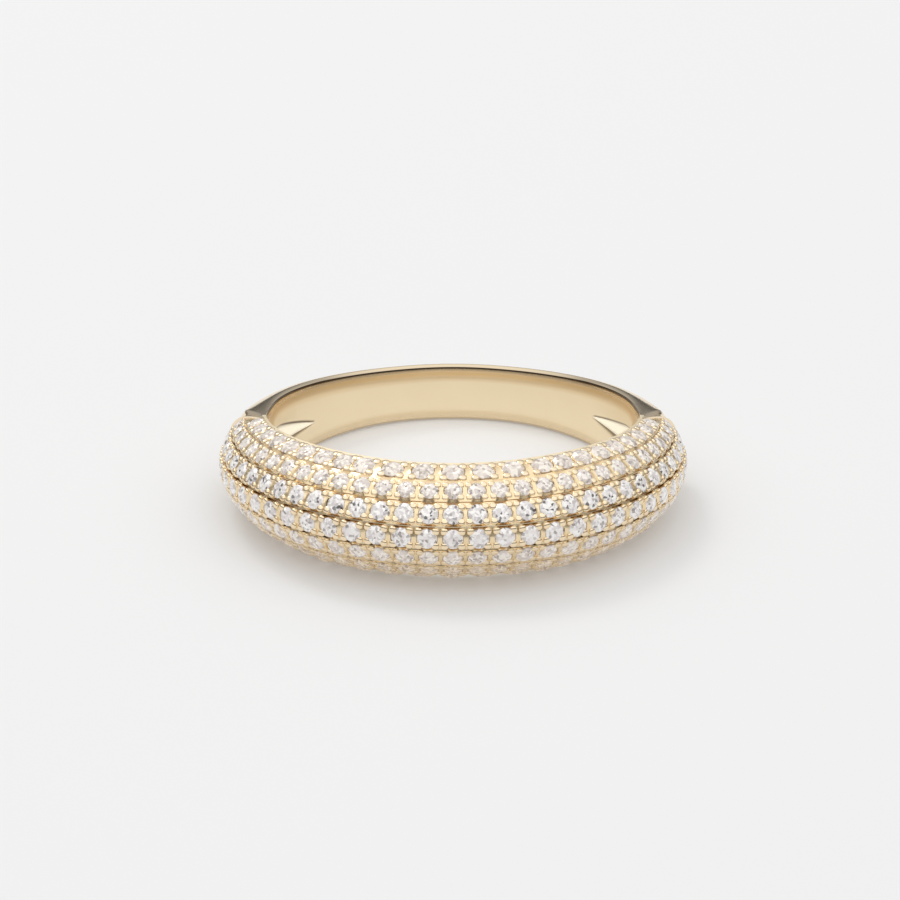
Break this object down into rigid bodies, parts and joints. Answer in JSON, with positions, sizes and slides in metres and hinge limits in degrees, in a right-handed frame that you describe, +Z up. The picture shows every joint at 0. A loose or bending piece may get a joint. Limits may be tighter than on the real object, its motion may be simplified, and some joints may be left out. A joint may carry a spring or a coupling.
{
  "type": "dome ring",
  "caption": "Gold dome ring with rows of small pave-set stones over the front and sides, a plain tapering shank and a hollow behind the dome, lying on its side.",
  "frame": {"origin": "middle of the underside, on the surface that the ring lies on", "axes": "+X across the ring from shoulder to shoulder, +Y from the dome to the back of the shank, +Z up from the surface"},
  "size_m": [0.0226, 0.0216, 0.0057],
  "materials": {
    "gold": "pale yellow gold, polished outside and satin on the finger wall",
    "gem": "clear colourless cut stones"
  },
  "bodies": {
    "root": {"dome": "gold", "shank": "gold", "stones": "gem"}
  },
  "joints": []
}
